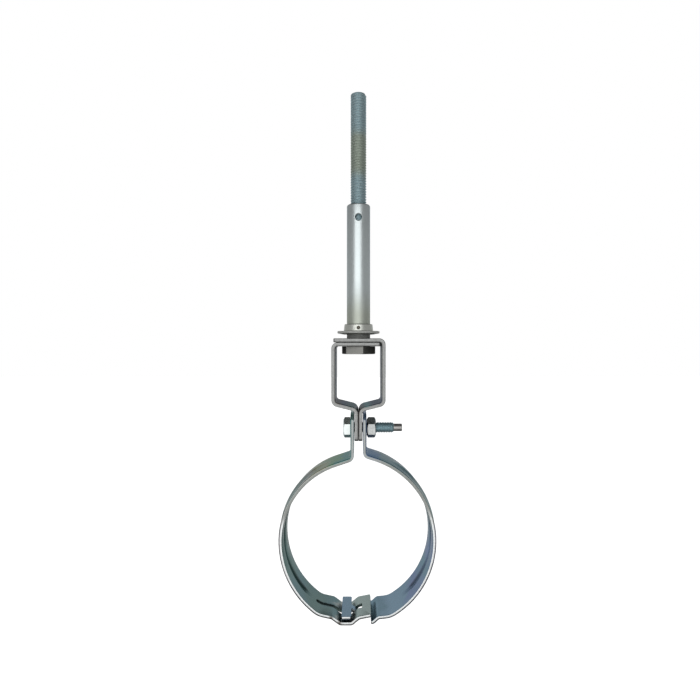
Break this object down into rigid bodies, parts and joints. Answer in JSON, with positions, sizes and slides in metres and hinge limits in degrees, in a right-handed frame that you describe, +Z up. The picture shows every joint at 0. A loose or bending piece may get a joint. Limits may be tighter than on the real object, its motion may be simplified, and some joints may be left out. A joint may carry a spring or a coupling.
{
  "type": "seismic pipe hanger",
  "caption": "Pipe hanger: threaded rod in a long sleeve nut with a flanged collar, a swivelling strap bracket, and a pipe band that hooks together below and is clamped by a bolt.",
  "frame": {"origin": "centre of the threaded rod's top face", "axes": "+Z up along the rod, +X to the right as the picture shows it, along the clamp bolt, -Y towards the picture's camera"},
  "size_m": [0.0934, 0.0252, 0.3129],
  "materials": {
    "rod": "rolled thread, bright blue zinc plating",
    "sleeve": "turned tube, satin zinc plating",
    "bracket": "pressed strap, zinc plating",
    "band": "pressed strap, bright zinc plating with a faint blue and green film",
    "bolt": "bright blue zinc plating"
  },
  "bodies": {
    "rod": {"hanger_rod": "rod"},
    "sleeve": {"sleeve_nut": "sleeve", "flanged_collar": "sleeve"},
    "bracket": {"bracket_left": "bracket", "bracket_right": "bracket"},
    "band": {"band_left": "band", "clamp_bolt": "bolt"},
    "hook": {"band_right": "band"},
    "nut": {"clamp_nut": "bolt"}
  },
  "joints": [
    {"name": "height_adjust", "type": "slide", "parent": "rod", "child": "sleeve", "axis": [0, 0, 1], "range_m": [-0.0195, 0.055]},
    {"name": "bracket_swivel", "type": "hinge", "parent": "sleeve", "child": "bracket", "pos_m": [0, 0, -0.1516], "axis": [0, 0, 1], "continuous": true},
    {"name": "band_tilt", "type": "hinge", "parent": "bracket", "child": "band", "pos_m": [0, 0, -0.19987], "axis": [1, 0, 0], "range_deg": [-4, 4]},
    {"name": "band_open", "type": "hinge", "parent": "band", "child": "hook", "pos_m": [-0.002, 0, -0.30997], "axis": [0, 1, 0], "range_deg": [0, 5]},
    {"name": "nut_travel", "type": "slide", "parent": "band", "child": "nut", "axis": [1, 0, 0], "range_m": [0, 0.0102]}
  ],
  "couplings": [
    {"joint": "nut_travel", "follows": "band_open", "m_per_rad": 0.1165}
  ]
}
